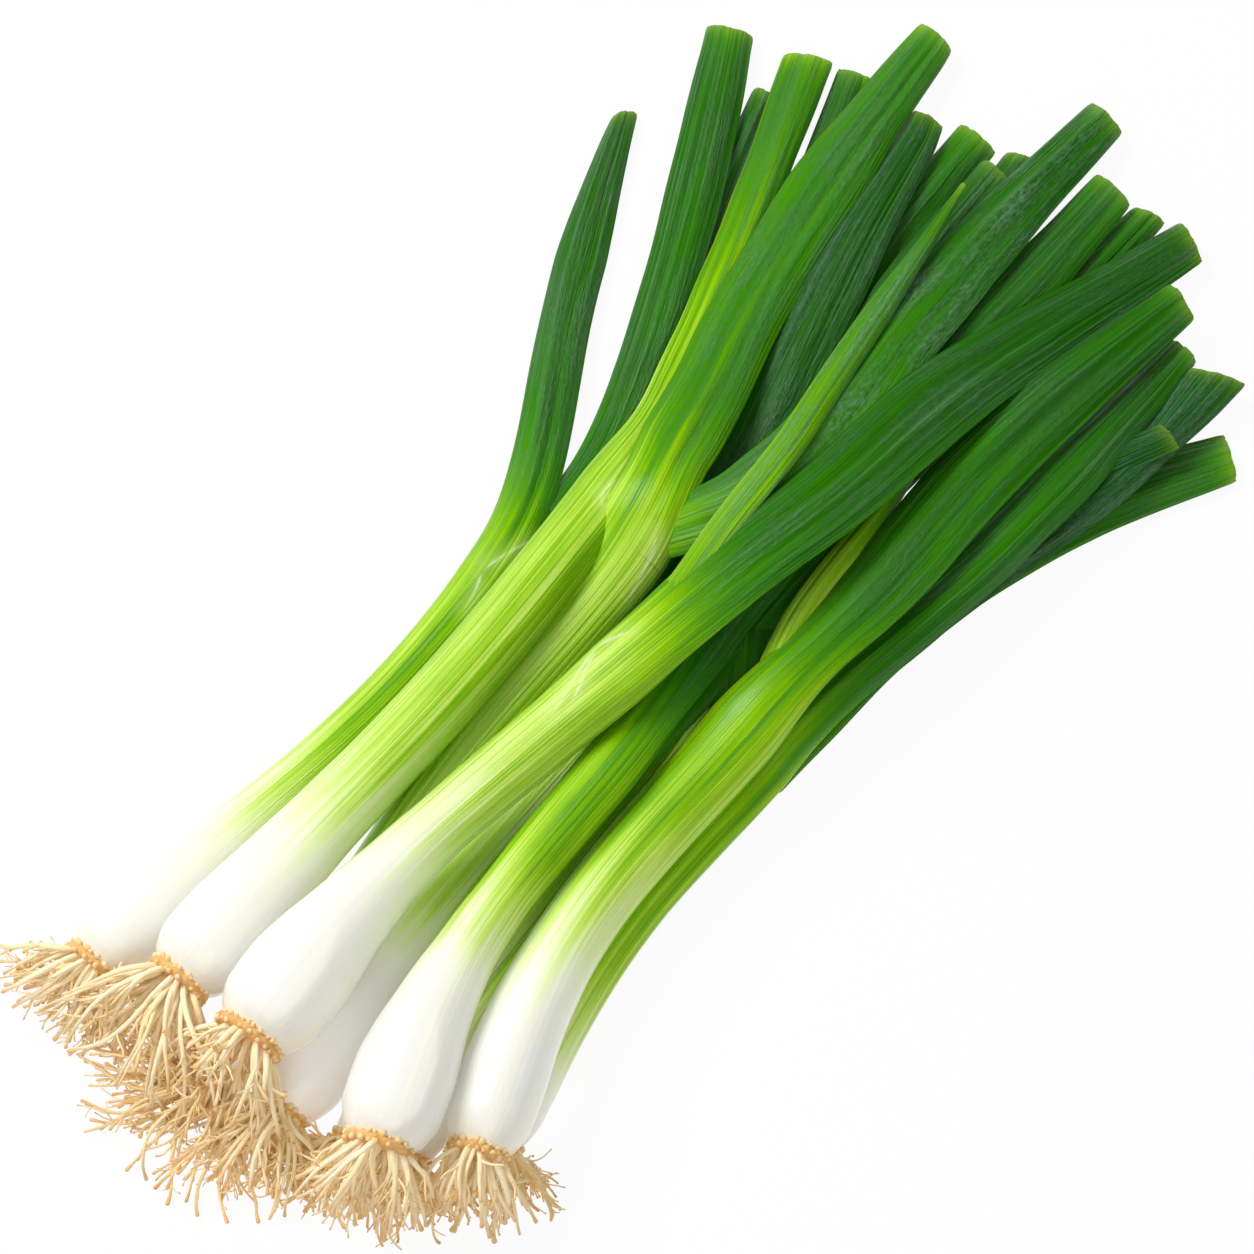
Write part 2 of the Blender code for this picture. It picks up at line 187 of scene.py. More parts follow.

# How far the tone of bulbs under others is taken below 0, for a painted glow that lifts their
# shade.
PAINTED_GLOW_UNDER_OTHERS = {"onion_5": 0.2, "onion_3": 0.1, "onion_6": 0.1}

# Root tufts: how many roots, how far they spread and how far they reach, against the usual, and how
# brown they are.
TUFTS = {
    "onion_1": (1.3, 1.2, 1.05, 0.0), "onion_2": (1.5, 1.35, 1.3, 0.08),
    "onion_3": (2.9, 1.95, 1.2, 0.3), "onion_4": (1.0, 0.95, 0.85, 0.0),
    "onion_5": (1.2, 1.0, 1.0, 0.1), "onion_6": (1.3, 1.3, 1.1, 0.35),
    "onion_7": (1.0, 0.6, 0.95, 0.0), "onion_8": (1.3, 1.3, 1.1, 0.35),
    "onion_9": (1.0, 0.6, 0.95, 0.0), "onion_10": (1.2, 1.2, 1.1, 0.35),
}  # fmt: skip

STALK_AROUND, STALK_STEP = 96, 1.2
LEAF_AROUND, LEAF_STEP = 80, 1.3
FORK_STEP, FORK_REACH = 0.55, 26.0  # finer rings round the fork
FORK_RUN = 30.0  # length over which the outermost leaf takes its own shape
HIDDEN_START = 6.0  # length of an inner leaf inside the sheath
WALL, HOLLOW = 0.5, 5.0  # of a cut leaf, and the depth that it is open to
CREASE = 0.42  # rise of the ridge along a leaf, against its half height
POINTED = 2.0  # half width under which a leaf ends in a point
GROUND_GAP = 0.1  # lowest height of any point
SOFT_TOP, PRESSED = 40.0, 0.5  # the heap is pressed down by this share of what is above this height
LEVEL_CALM, UP_CALM = 7.0, 13.0  # reach over which a centreline is smoothed
GRAIN_RADIUS = 7.0  # of the stalk that the grain is laid on
ROOT_SIDES, ROOT_STEPS, TWIG_STEPS = 7, 16, 7
GOLDEN = 0.618034  # share of a turn between one root and the next
UP = np.array([0, 0, 1.0])


def srgb(colour):
    """An sRGB colour of three bytes as linear RGBA."""
    share = np.array(colour) / 255
    linear = np.where(share <= 0.04045, share / 12.92, ((share + 0.055) / 1.055) ** 2.4)
    return (*linear.tolist(), 1.0)


def ease(x, start=0.0, end=1.0):
    """0 before start, 1 after end, smooth between."""
    share = np.clip((x - start) / (end - start), 0, 1)
    return share * share * (3 - 2 * share)


def wander(rng, x, length, terms=4):
    """A smooth random curve of x within about -1 to 1, with waves of about this length."""
    total = np.zeros(np.shape(x))
    for _ in range(terms):
        wave = length * rng.uniform(0.6, 1.9)
        total = total + rng.uniform(0.4, 1) * np.cos(2 * math.pi * (x / wave + rng.uniform()))
    return total / terms * 1.3


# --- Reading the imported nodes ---


def welded(node):
    """The node's points in mm and its triangles, with the points on each corner made one."""
    data = frame["nodes"][node].data
    points = np.array([tuple(vertex.co) for vertex in data.vertices]) / MM
    corners = np.array([tuple(face.vertices) for face in data.polygons])
    _, first, index = np.unique(
        np.round(points, 3), axis=0, return_index=True, return_inverse=True
    )
    return points[first], index.reshape(-1)[corners]


def end_caps(points, corners):
    """The points on each of the node's two flat ends, the end at the lower X first."""
    a, b, c = (points[corners[:, k]] for k in range(3))
    normal = np.cross(b - a, c - a)
    normal /= np.linalg.norm(normal, axis=1)[:, None]
    offset = (normal * a).sum(axis=1)
    left = np.flatnonzero((abs(normal[:, 2]) < 0.02) & (abs(normal[:, 0]) > 0.4))
    groups = []
    while len(left):
        same = (normal[left] @ normal[left[0]] > 0.9999) & (
            abs(offset[left] - offset[left[0]]) < 0.02
        )
        groups.append(left[same])
        left = left[~same]
    caps = []
    for group in sorted(groups, key=len)[-2:]:
        off_plane = points @ normal[group[0]] - offset[group[0]]
        caps.append(set(np.flatnonzero(abs(off_plane) < 0.02).tolist()))
    return sorted(caps, key=lambda cap: points[list(cap), 0].mean())


def rings_of(node, from_high_x):
    """The node's rings from end to end, as arrays of points, without those on the ground."""
    points, corners = welded(node)
    beside = {}
    for a, b, c in corners.tolist():
        for i, j in ((a, b), (b, c), (c, a)):
            beside.setdefault(i, set()).add(j)
            beside.setdefault(j, set()).add(i)
    caps = end_caps(points, corners)
    ring, far_cap = caps[::-1] if from_high_x else caps
    seen, rings = set(), []
    while ring:
        rings.append(points[sorted(ring)])
        seen |= ring
        ring = {j for i in ring if points[i, 2] > 0.001 for j in beside[i]} - seen
        if ring & far_cap:
            ring = far_cap - seen
        ring = {j for j in ring if points[j, 2] > 0.001}
    return [ring for ring in rings if len(ring) > 4]


def spline(at, values, where):
    """A natural cubic spline."""
    count = len(at)
    spans, slopes = np.diff(at), np.diff(values) / np.diff(at)
    system, known = np.eye(count), np.zeros(count)
    for i in range(1, count - 1):
        system[i, i - 1 : i + 2] = spans[i - 1], 2 * (spans[i - 1] + spans[i]), spans[i]
        known[i] = 6 * (slopes[i] - slopes[i - 1])
    bends = np.linalg.solve(system, known)
    k = np.clip(np.searchsorted(at, where, "right") - 1, 0, count - 2)
    a = (at[k + 1] - where) / spans[k]
    b = 1 - a
    curve = ((a**3 - a) * bends[k] + (b**3 - b) * bends[k + 1]) * spans[k] ** 2 / 6
    return a * values[k] + b * values[k + 1] + curve


def steady(at, values, where):
    """A smooth curve that goes through the values without overshooting them."""
    spans, slopes = np.diff(at), np.diff(values) / np.diff(at)
    before, after = slopes[:-1], slopes[1:]
    agree = before * after > 0
    inner = np.where(agree, 2 * before * after / np.where(agree, before + after, 1), 0)
    turns = np.concatenate([[slopes[0]], inner, [slopes[-1]]])
    where = np.clip(where, at[0], at[-1])
    k = np.clip(np.searchsorted(at, where, "right") - 1, 0, len(spans) - 1)
    t = (where - at[k]) / spans[k]
    return (
        (2 * t**3 - 3 * t**2 + 1) * values[k]
        + (t**3 - 2 * t**2 + t) * spans[k] * turns[k]
        + (3 * t**2 - 2 * t**3) * values[k + 1]
        + (t**3 - t**2) * spans[k] * turns[k + 1]
    )


def calmed(values, reach):
    """Values 1 mm apart, smoothed over this reach, with both ends kept."""
    half = math.ceil(3 * reach)
    weights = np.exp(-((np.arange(-half, half + 1) / reach) ** 2) / 2)
    before = 2 * values[0] - values[1 : half + 1][::-1]
    after = 2 * values[-1] - values[-half - 1 : -1][::-1]
    return np.convolve(np.concatenate([before, values, after]), weights / weights.sum(), "valid")


class Line:
    """The smooth centreline through a stalk and one of its leaves, measured from the root plate."""

    def __init__(self, stalk, leaf, sway=(), fork=None):
        near, far = np.arange(0, stalk.length, 1.0), np.arange(0, leaf.length + 1, 1.0)
        rows = np.concatenate([stalk.centres(near), leaf.centres(far)])
        self.at = np.concatenate([near, stalk.length + far])
        reaches = (LEVEL_CALM, LEVEL_CALM, UP_CALM)
        self.rows = np.stack([calmed(rows[:, k], reach) for k, reach in enumerate(reaches)], axis=1)
        if fork is not None:
            along = self.at - stalk.length
            share = np.exp(-((np.maximum(along, 0) / 16) ** 2))
            self.rows += (fork - self.centres(stalk.length)) * share[:, None]
        if sway:
            places, left, up = np.array(sway, float).T
            past = self.at - stalk.length
            self.rows += sideways(self.rows) * steady(places, left, past)[:, None]
            self.rows[:, 2] += steady(places, up, past)

    def centres(self, where):
        return np.stack([np.interp(where, self.at, self.rows[:, k]) for k in range(3)], axis=-1)


class Spine:
    """A node's centreline, with its half width and half height, at any distance along it."""

    def __init__(self, node):
        kind = kind_of(node)
        corner = math.cos(math.pi / SIDES[kind])
        rings = rings_of(node, kind == "roots")
        middles = np.array([ring.mean(axis=0)[:2] for ring in rings])
        ahead = np.gradient(middles, axis=0)
        rows = []
        for ring, forward in zip(rings, ahead):
            plan = ring[:, :2] - ring[:, :2].mean(axis=0)
            across = np.linalg.svd(plan, full_matrices=False)[2][0]
            if across[0] * forward[1] > across[1] * forward[0]:
                across = -across
            side = plan @ across
            low, high = side.min(), side.max()
            edge = (side > 0.93 * high) | (side < 0.93 * low)
            level = ring[edge, 2].mean()
            middle = ring[:, :2].mean(axis=0) + across * (low + high) / 2
            rise = (ring[:, 2].max() - level) / corner
            rows.append((*middle, level, (high - low) / 2 / corner, rise))
        rows = np.array(rows)
        self.centre, self.width, self.height = rows[:, :3], rows[:, 3], rows[:, 4]
        steps = np.linalg.norm(np.diff(rows[:, :2], axis=0), axis=1)
        self.at = np.concatenate([[0], np.cumsum(steps)])
        self.length = self.at[-1]

    def point(self, where):
        return np.stack([spline(self.at, self.centre[:, k], where) for k in range(3)], axis=-1)

    def centres(self, where):
        """Points on the centreline, which runs straight on past the far end."""
        last = 0.5
        slope = (self.point(self.length) - self.point(self.length - last)) / last
        beyond = np.maximum(where - self.length, 0)[:, None]
        return self.point(np.minimum(where, self.length)) + slope * beyond

    def widths(self, where):
        return steady(self.at, self.width, where), steady(self.at, self.height, where)


def sideways(centres):
    """Level unit vectors to the left of a centreline."""
    ahead = np.gradient(centres, axis=0)[:, :2]
    ahead /= np.linalg.norm(ahead, axis=1)[:, None]
    return np.stack([-ahead[:, 1], ahead[:, 0], np.zeros(len(ahead))], axis=1)


def kind_of(node):
    return "leaf" if "_leaf" in node else node.rsplit("_", 1)[1]


# --- Skins ---


class Skin:
    """Tubes gathered into one mesh, each with its own patch of the bake map."""

    def __init__(self):
        self.tubes = []

    def tube(self, points, values):
        """points is rings x around x 3. values holds numbers or vectors for them, by name."""
        self.tubes.append((points, values))

    def build(self, name, material):
        points, faces, maps = [], [], []
        values = {key: [] for key in self.tubes[0][1]}
        base = 0
        for (tube, own), (left, low, width, height) in zip(self.tubes, self.shelves()):
            rings, around = tube.shape[:2]
            index = base + np.arange(rings * around).reshape(rings, around)
            after = np.roll(index, -1, axis=1)
            quads = np.stack([index[:-1], after[:-1], after[1:], index[1:]], axis=-1)
            faces.extend(quads.reshape(-1, 4).tolist())
            faces.append(index[0, ::-1].tolist())
            faces.append(index[-1].tolist())
            u = left + width * (0.03 + 0.94 * np.arange(around + 1) / around)
            v = low + height * (0.04 + 0.92 * np.arange(rings) / (rings - 1))
            u0, v0 = np.meshgrid(u[:-1], v[:-1])
            u1, v1 = np.meshgrid(u[1:], v[1:])
            square = np.stack([u0, v0, u1, v0, u1, v1, u0, v1], axis=-1)
            maps.append(square.reshape(-1, 2))
            turn = turn_of(around)
            disc = np.stack([np.cos(turn), np.sin(turn)], axis=1) * min(width, height) * 0.008
            maps.append(disc[::-1] + (left + width / 2, low + height * 0.014))
            maps.append(disc + (left + width / 2, low + height * 0.986))
            points.append(tube.reshape(-1, 3))
            for key in values:
                own_value = np.asarray(own[key], float)
                size = own_value.shape[2:] if own_value.ndim > 2 else ()
                full = np.broadcast_to(own_value, (rings, around, *size))
                values[key].append(full.reshape(-1, *size))
            base += rings * around
        points, maps = np.concatenate(points), np.concatenate(maps)
        return self.mesh(name, points, faces, maps, values, material)

    def shelves(self):
        """Each tube's patch: left, low, width and height."""
        count = len(self.tubes)
        if count == 1:
            return [(0, 0, 1, 1)]
        columns = round(math.sqrt(count * 3))
        rows = math.ceil(count / columns)
        return [
            ((k % columns) / columns, (k // columns) / rows, 1 / columns, 1 / rows)
            for k in range(count)
        ]

    def mesh(self, name, points, faces, maps, values, material):
        data = bpy.data.meshes.new(name)
        points[:, 2] = np.maximum(points[:, 2], GROUND_GAP)
        points[:, 2] -= PRESSED * np.maximum(points[:, 2] - SOFT_TOP, 0)
        data.from_pydata((points * MM).tolist(), [], faces)
        layer = data.uv_layers.new(name="OFBake")
        layer.data.foreach_set("uv", maps.ravel())
        for key, parts in values.items():
            value = np.concatenate(parts)
            kind = "FLOAT_VECTOR" if value.ndim > 1 else "FLOAT"
            attribute = data.attributes.new(key, kind, "POINT")
            attribute.data.foreach_set("vector" if value.ndim > 1 else "value", value.ravel())
        data.polygons.foreach_set("use_smooth", [True] * len(data.polygons))
        data.materials.append(material)
        return place(name, data)


def turn_of(around):
    """Angles in even steps round a ring."""
    return 2 * math.pi * np.arange(around) / around


def section(centres, across, width, height, angles, rise=0.0):
    """Upright elliptical rings. rise sharpens the two edges."""
    side = np.cos(angles) * width[:, None]
    up = np.sin(angles) * abs(np.sin(angles)) ** rise * height[:, None]
    return centres[:, None] + across[:, None] * side[..., None] + UP * up[..., None]


def grain_of(angles, radius, along, seed):
    """Coordinates of the grain in mm: round the skin without a seam, and along it."""
    turn = np.stack([np.cos(angles), np.sin(angles)], axis=-1) * radius
    rows = np.broadcast_to(along[:, None, None], (len(along), turn.shape[-2], 1))
    turn = np.broadcast_to(turn, (len(along), *turn.shape[-2:]))
    return np.concatenate([turn, rows], axis=-1) + seed


def seed_of(name):
    digits = [int(part) for part in name.split("_") if part.isdigit()]
    return np.random.default_rng([len(name), *digits])


def onion_seed(onion):
    return np.array([0.0, 0.0, 500.0 * int(onion.split("_")[1])])


def rows_of(start, end, fork, step):
    """Distances along a skin, closer together near the fork."""
    marks = np.arange(start, end + step, step / 8)
    density = 1 / (step - (step - FORK_STEP) * np.exp(-(((marks - fork) / FORK_REACH) ** 4)))
    count = np.concatenate([[0], np.cumsum((density[1:] + density[:-1]) / 2 * np.diff(marks))])
    total = np.interp(end, marks, count)
    return np.interp(np.linspace(0, total, math.ceil(total) + 1), count, marks)


# How a stalk's ends close: depth, against the last step between rings, and size.
TUCKED = [(-0.02, 1.0), (0.5, 0.9), (1.0, 0.6), (1.3, 0.05)]


def stalk_skin(onion, spine, line):
    rng = seed_of(onion)
    white, fade, tone_at_fork = ONIONS[onion]
    rows = rows_of(0, spine.length, spine.length, STALK_STEP)
    angles = turn_of(STALK_AROUND)
    centres = line.centres(rows)
    across = sideways(centres)
    width, height = spine.widths(rows)
    fuller = (FULLER.get(onion, 1) - 1) * ease(rows, spine.length - 110, spine.length - 30)
    width = width * (1 + fuller)
    lobes = np.stack([np.cos(angles), np.sin(angles), np.cos(2 * angles)])
    uneven = 0.010 * np.stack([wander(rng, rows, 60) for _ in lobes]).T @ lobes
    uneven = 1 + uneven * ease(spine.length - rows, 0, 12)[:, None]
    skin = section(centres, across, width, height, angles)
    skin = centres[:, None] + (skin - centres[:, None]) * uneven[..., None]
    tone = tone_along(rows, white, fade, tone_at_fork)
    # Bulbs under others go below tone 0, where their colour stays white and only a painted glow
    # lifts their shade.
    tone = tone - PAINTED_GLOW_UNDER_OTHERS.get(onion, 0) * (1 - ease(rows, 15, 75))

    def tucked(end, inner):
        step, ring = centres[inner] - centres[end], skin[end] - centres[end]
        return [centres[end] + step * depth + ring * size for depth, size in TUCKED]

    skin = np.concatenate([tucked(0, 1)[::-1], skin, tucked(-1, -2)])
    rows, tone = (np.pad(each, len(TUCKED), "edge") for each in (rows, tone))
    values = {
        "tone": tone[:, None],
        "bloom": 0.0,
        "rim": 0.0,
        "collar": collar_of(onion, rows - spine.length, angles, width[-1]),
        "warm": ease(9 - rows, 0, 9)[:, None],
        "grain": grain_of(angles, GRAIN_RADIUS, rows, onion_seed(onion)),
    }
    return skin, values


def tone_along(rows, white, fade, tone_at_fork):
    """White at the bulb, then pale, then lime towards the fork."""
    marks = [0, white - 12, white + 4, *(white + share * fade for share in (0.3, 0.6, 1, 2))]
    tones = [0.02, 0.05, 0.14, 0.25, 0.34, tone_at_fork - 0.04, tone_at_fork + 0.03]
    last = rows[-1]
    drift = tone_at_fork - np.interp(last, marks, tones)
    return np.interp(rows, marks, tones) + drift * ease(rows, white, last)


class Leaf:
    """One leaf's rows of rings, grown along its node."""

    def __init__(self, name, stalk, spine, line, outermost):
        self.name, self.onion = name, name.split("_leaf")[0]
        self.stalk, self.spine, self.line, self.outermost = stalk, spine, line, outermost
        self.rng = seed_of(name)
        self.length = spine.length
        start = 0.0 if outermost else -HIDDEN_START
        self.rows = rows_of(start, self.length, 0, LEAF_STEP)
        self.angles = turn_of(LEAF_AROUND)
        self.shape()

    def shape(self):
        rng, rows = self.rng, self.rows
        own = ease(rows, 0, FORK_RUN)
        centres = self.line.centres(self.stalk.length + rows)
        width, height = self.spine.widths(rows)
        if self.outermost:
            end = self.stalk.length
            wide, high = self.stalk.widths(end)
            wide *= FULLER.get(self.onion, 1)
            width = wide + (width - wide) * own
            height = high + (height - high) * own
        else:
            tuck = ease(-rows, 0, HIDDEN_START)
            width, height = width * (1 - 0.35 * tuck), height * (1 - 0.35 * tuck)
        if self.name in BREADTH:
            places, factors = np.array(BREADTH[self.name], float).T
            width = width * steady(places, factors, rows)
        free = own * ease(self.length - rows, -4, 10)
        width = width * (1 + 0.035 * wander(rng, rows, 45) * free)
        centres[:, 2] += 0.25 * wander(rng, rows, 38) * free
        across = sideways(centres)
        self.centres, self.across = centres, across
        points = section(centres, across, width, height, self.angles, 0.22)
        if self.outermost:
            plain = section(centres, across, width, height, self.angles)
            points = plain + (points - plain) * own[:, None, None]
        self.points = points + self.folds(own, height)
        self.width, self.height = width, height

    def folds(self, own, height):
        """Lengthwise ridges and hollows, which drift a little across the blade."""
        rng, rows = self.rng, self.rows
        side, up = np.cos(self.angles), np.sin(self.angles)
        depth = np.zeros((len(rows), len(self.angles)))
        for _ in range(3):
            place = rng.uniform(-0.65, 0.65) + 0.12 * wander(rng, rows, 90)
            spread = rng.uniform(0.1, 0.2)
            cut = rng.uniform(0.10, 0.26) * (0.7 + 0.3 * wander(rng, rows, 60))
            depth -= cut[:, None] * np.exp(-(((side - place[:, None]) / spread) ** 2))
        for _ in range(3):
            place = rng.uniform(-0.7, 0.7) + 0.08 * wander(rng, rows, 100)
            depth += 0.08 * np.exp(-(((side - place[:, None]) / 0.05) ** 2))
        crease = rng.uniform(-0.4, 0.4) + 0.1 * wander(rng, rows, 120)
        depth += CREASE * (0.5 - abs(side - crease[:, None]))
        depth += 0.05 * wander(rng, rows[:, None] + 9 * side, 14)
        depth = depth * own[:, None] * np.sign(up) * abs(up) ** 0.6 * height[:, None]
        return UP * depth[..., None]

    def close(self):
        """Tucks in the start, and cuts the far end, or rounds it off if the leaf is pointed."""
        points, rows = self.points, self.rows
        end = self.stalk.length + self.length
        ahead = self.line.centres(end) - self.line.centres(end - 3)
        ahead /= np.linalg.norm(ahead)
        extra = []
        if self.pointed():
            middle = self.centres[-1]
            for reach, size in ((0.5, 0.85), (0.9, 0.5), (1.05, 0.08)):
                extra.append(middle + ahead * reach + (points[-1] - middle) * size)
            rim = [0.3, 0.5, 0.6]
        else:
            self.cut(points, ahead)
            points[-1] = self.shrunk(points[-1], 0.25)
            edge, middle = points[-1], points[-1].mean(axis=0)
            extra.append(self.shrunk(edge, WALL * 0.5) + ahead * 0.12)
            extra.append(self.shrunk(edge, WALL) - ahead * 0.1)
            for depth, inset in ((0.35, 1.1), (1.0, 1.3)):
                extra.append(self.shrunk(edge, WALL * inset) - ahead * HOLLOW * depth)
            floor = middle + (self.shrunk(edge, WALL * 1.4) - middle) * 0.05
            extra.append(floor - ahead * HOLLOW * 1.1)
            # Negative rim values on the rows inside the open end paint shade there.
            rim = [1.0, 1.0, -0.6, -1.0, -1.0]
        back = points[0] - points[1]
        start = self.centres[0] + (points[0] - self.centres[0]) * 0.05 + 0.2 * back
        self.skin = np.concatenate([[start, points[0] + 0.015 * back], points, extra])
        self.rows = np.concatenate([[rows[0]] * 2, rows, [self.length] * len(extra)])
        self.rim_of_ends = rim

    def pointed(self):
        return self.width[-1] < POINTED

    def shrunk(self, ring, inset):
        """A ring pulled in by a distance all round."""
        middle = ring.mean(axis=0)
        out = ring - middle
        reach = np.linalg.norm(out, axis=1)[:, None]
        return middle + out * np.maximum(1 - inset / reach, 0.15)

    def cut(self, points, ahead):
        """Slants and roughens the far end, less and less over the last rows."""
        slant = LEAVES[self.name][3]
        side = np.cos(self.angles)
        rough = 0.28 * wander(self.rng, self.angles * 5.0, 5.0, 6)
        rough += 0.15 * wander(self.rng, self.angles * 5.0, 1.6, 6)
        shift = slant * side + rough - 0.25 * abs(side) ** 6
        share = ease(self.rows, self.length - 9, self.length)
        points += ahead * (share[:, None] * shift)[..., None]

    def values(self):
        past, far, bloom, _ = LEAVES[self.name]
        rows = self.rows
        at_fork = ONIONS[self.onion][2]
        start = at_fork if self.outermost else at_fork + 0.3 * (past - at_fork)
        greening = ease(rows, -4, 56) if self.outermost else ease(rows, -8, 36)
        tone = start + (past - start) * greening + (far - past) * ease(rows, 30, self.length)
        tone -= 0.16 * np.exp(-np.maximum(self.length - rows, 0) / self.rng.uniform(3, 8))
        # Both folded edges get a slightly lower tone, which is a painted highlight along the folds.
        painted_edge_highlight = abs(np.cos(self.angles)) > 0.93
        rim = 0.5 * np.exp(-(self.length - rows) / 1.6)
        rim[-len(self.rim_of_ends) :] = self.rim_of_ends
        return {
            "tone": tone[:, None] - 0.05 * painted_edge_highlight * ease(rows, 10, 40)[:, None],
            "bloom": bloom * ease(rows, 15, 70)[:, None],
            "rim": rim[:, None],
            "collar": self.collar(),
            "warm": 0.0,
            "grain": self.grain(),
        }

    def collar(self):
        if not self.outermost:
            return NO_COLLAR
        wide, _ = self.stalk.widths(self.stalk.length)
        return collar_of(self.onion, self.rows, self.angles, wide)

    def grain(self):
        along = self.stalk.length + self.rows
        seed = onion_seed(self.onion)
        if not self.outermost:
            seed = seed + np.array([31.0, 17.0, 0]) * (1 + int(self.name[-1]))
        return grain_of(self.angles, GRAIN_RADIUS, along, seed)


def collar_of(onion, rows, angles, width):
    """Distance in mm from the pale edges of the sheath that show round the fork."""
    side = np.cos(angles) * width
    points = np.stack(np.broadcast_arrays(rows[:, None], side[None]), axis=-1)
    nearest = np.full(points.shape[:2], NO_COLLAR)
    for path in COLLARS.get(onion, ()):
        marks = np.array(path, float) * (1, width)
        places, samples = np.arange(len(marks)), np.linspace(0, len(marks) - 1, 60)
        fine = np.stack([steady(places, marks[:, k], samples) for k in (0, 1)], axis=1)
        ends = 0.5 * abs(np.linspace(-1, 1, 60)) ** 4
        gap = (np.linalg.norm(points[:, :, None] - fine, axis=-1) + ends).min(axis=-1)
        nearest = np.minimum(nearest, gap)
    return np.where(np.sin(angles) > -0.2, nearest, NO_COLLAR)


# --- Roots ---


def strand(path, radius, flat, rng):
    """A tapering root along a path, closed at both ends."""
    ahead = np.gradient(path, axis=0)
    ahead /= np.linalg.norm(ahead, axis=1)[:, None]
    side = np.cross(ahead, [0.13, 0.21, 1.0])
    side /= np.linalg.norm(side, axis=1)[:, None]
    up = np.cross(side, ahead)
    turn = turn_of(ROOT_SIDES) + rng.uniform(0, 6)
    ring = side[:, None] * np.cos(turn)[:, None] + up[:, None] * (np.sin(turn) * flat)[:, None]
    return path[:, None] + ring * radius[:, None, None]


def droop(start, heading, length, pull, rng, steps, curl):
    """A root's path: it leaves along heading, then bends towards pull, wandering a little."""
    path, direction = [start], heading / np.linalg.norm(heading)
    wobble = rng.normal(size=3)
    for k in range(steps):
        wobble = 0.75 * wobble + 0.5 * rng.normal(size=3)
        direction = direction + pull * 0.16 + wobble * curl
        direction = direction / np.linalg.norm(direction)
        step = path[-1] + direction * length / steps
        if step[2] < 0.7:
            step[2] = 0.7 + 0.3 * rng.uniform()
        path.append(step)
    return np.array(path)


def tuft_skin(onion, spine, stalk, line):
    """The root plate's ring of knobs and the roots that grow from it."""
    rng = np.random.default_rng([7, int(onion.split("_")[1])])
    skin = Skin()
    foot = line.centres(0.0)
    back = foot - line.centres(2.0)
    back /= np.linalg.norm(back)
    level = np.cross(UP, back)
    level /= np.linalg.norm(level)
    rise = np.cross(back, level)
    plate, _ = stalk.widths(0.0)
    end = spine.point(spine.length)
    heading = end - foot
    reach = float(np.linalg.norm(heading))
    heading /= reach
    spread = spine.widths(spine.length)[0] / reach

    def out(turn):
        return level * math.cos(turn) + rise * math.sin(turn)

    plate_ring(skin, foot, back, out, plate * 1.12, rng)
    more, wider, longer, brown = TUFTS[onion]
    for k in range(round((34 + 2.4 * plate) * more)):
        turn = 2 * math.pi * (k * GOLDEN + rng.uniform(-0.03, 0.03))
        share = math.sqrt(rng.uniform(0.05, 1))
        start = foot + out(turn) * plate * 0.84 * share + back * (0.1 + 0.9 * (1 - share))
        away = out(turn) * (0.3 + 1.0 * share * share)
        direction = back + away * 1.15 + heading * 0.2
        fan = level * math.cos(turn) * spread * 1.1 * wider
        pull = heading * 0.7 + fan + np.array([0, 0, -0.7]) + rng.normal(size=3) * 0.12
        length = reach * rng.uniform(0.6, 1.08) * longer
        path = droop(start, direction, length, pull, rng, ROOT_STEPS, 0.085 + 0.3 * brown)
        thick = rng.uniform(0.62, 0.98) * (0.8 + 0.03 * plate) * (1 - 0.4 * brown)
        along = np.linspace(0, 1, len(path))
        radius = thick * (1.02 - 0.52 * along) * (1 + 0.10 * wander(rng, along, 0.25))
        grow(skin, path, radius, rng, along, rng.uniform(0.0, 0.5) + brown)
        twigs(skin, path, radius, rng, pull, 4 + round(8 * brown))
    return skin


def grow(skin, path, radius, rng, along, tint):
    """Adds one root with rounded ends and, on most, a small golden knob at its tip."""
    flat = rng.uniform(0.6, 0.9)
    knob = rng.uniform() < 0.6
    radius = radius.copy()
    if knob:
        radius[-1] *= 1.5
    ahead = path[-1] - path[-2]
    ahead /= np.linalg.norm(ahead)
    close = np.array([path[-1] + ahead * radius[-1] * reach for reach in (0.5, 0.85)])
    path = np.concatenate([path, close])
    radius = np.concatenate([radius, [radius[-1] * 0.8, radius[-1] * 0.25]])
    tip_gold = (0.55 if knob else 0.3) * ease(along, 0.78, 1)
    # Golden near the plate: partly the roots' own colour there, partly painted shade where they
    # crowd under the bulb.
    gold = np.concatenate([0.5 * np.exp(-along / 0.07) + 0.12 * along + tip_gold, [0.75, 0.9]])
    reach = np.concatenate([[0], np.cumsum(np.linalg.norm(np.diff(path, axis=0), axis=1))])
    values = {
        "gold": gold[:, None],
        "tint": tint,
        "grain": grain_of(turn_of(ROOT_SIDES), 0.8, reach, rng.uniform(0, 400, 3)),
    }
    skin.tube(strand(path, radius, flat, rng), values)


def twigs(skin, path, radius, rng, pull, most):
    """Short side roots near the end of a root."""
    for _ in range(rng.integers(1, most + 1)):
        k = int(rng.integers(len(path) // 3, len(path) - 2))
        ahead = path[k + 1] - path[k]
        ahead /= np.linalg.norm(ahead)
        side = np.cross(ahead, rng.normal(size=3))
        side /= np.linalg.norm(side)
        length = rng.uniform(2.5, 7.0)
        start = ahead + side * rng.uniform(0.5, 1.2)
        own = droop(path[k], start, length, pull * 0.3, rng, TWIG_STEPS, 0.16)
        along = np.linspace(0, 1, len(own))
        thin = radius[k] * 0.6 * (1 - 0.35 * along)
        grow(skin, own, thin, rng, np.maximum(along, 0.4), rng.uniform(0.3, 0.9))


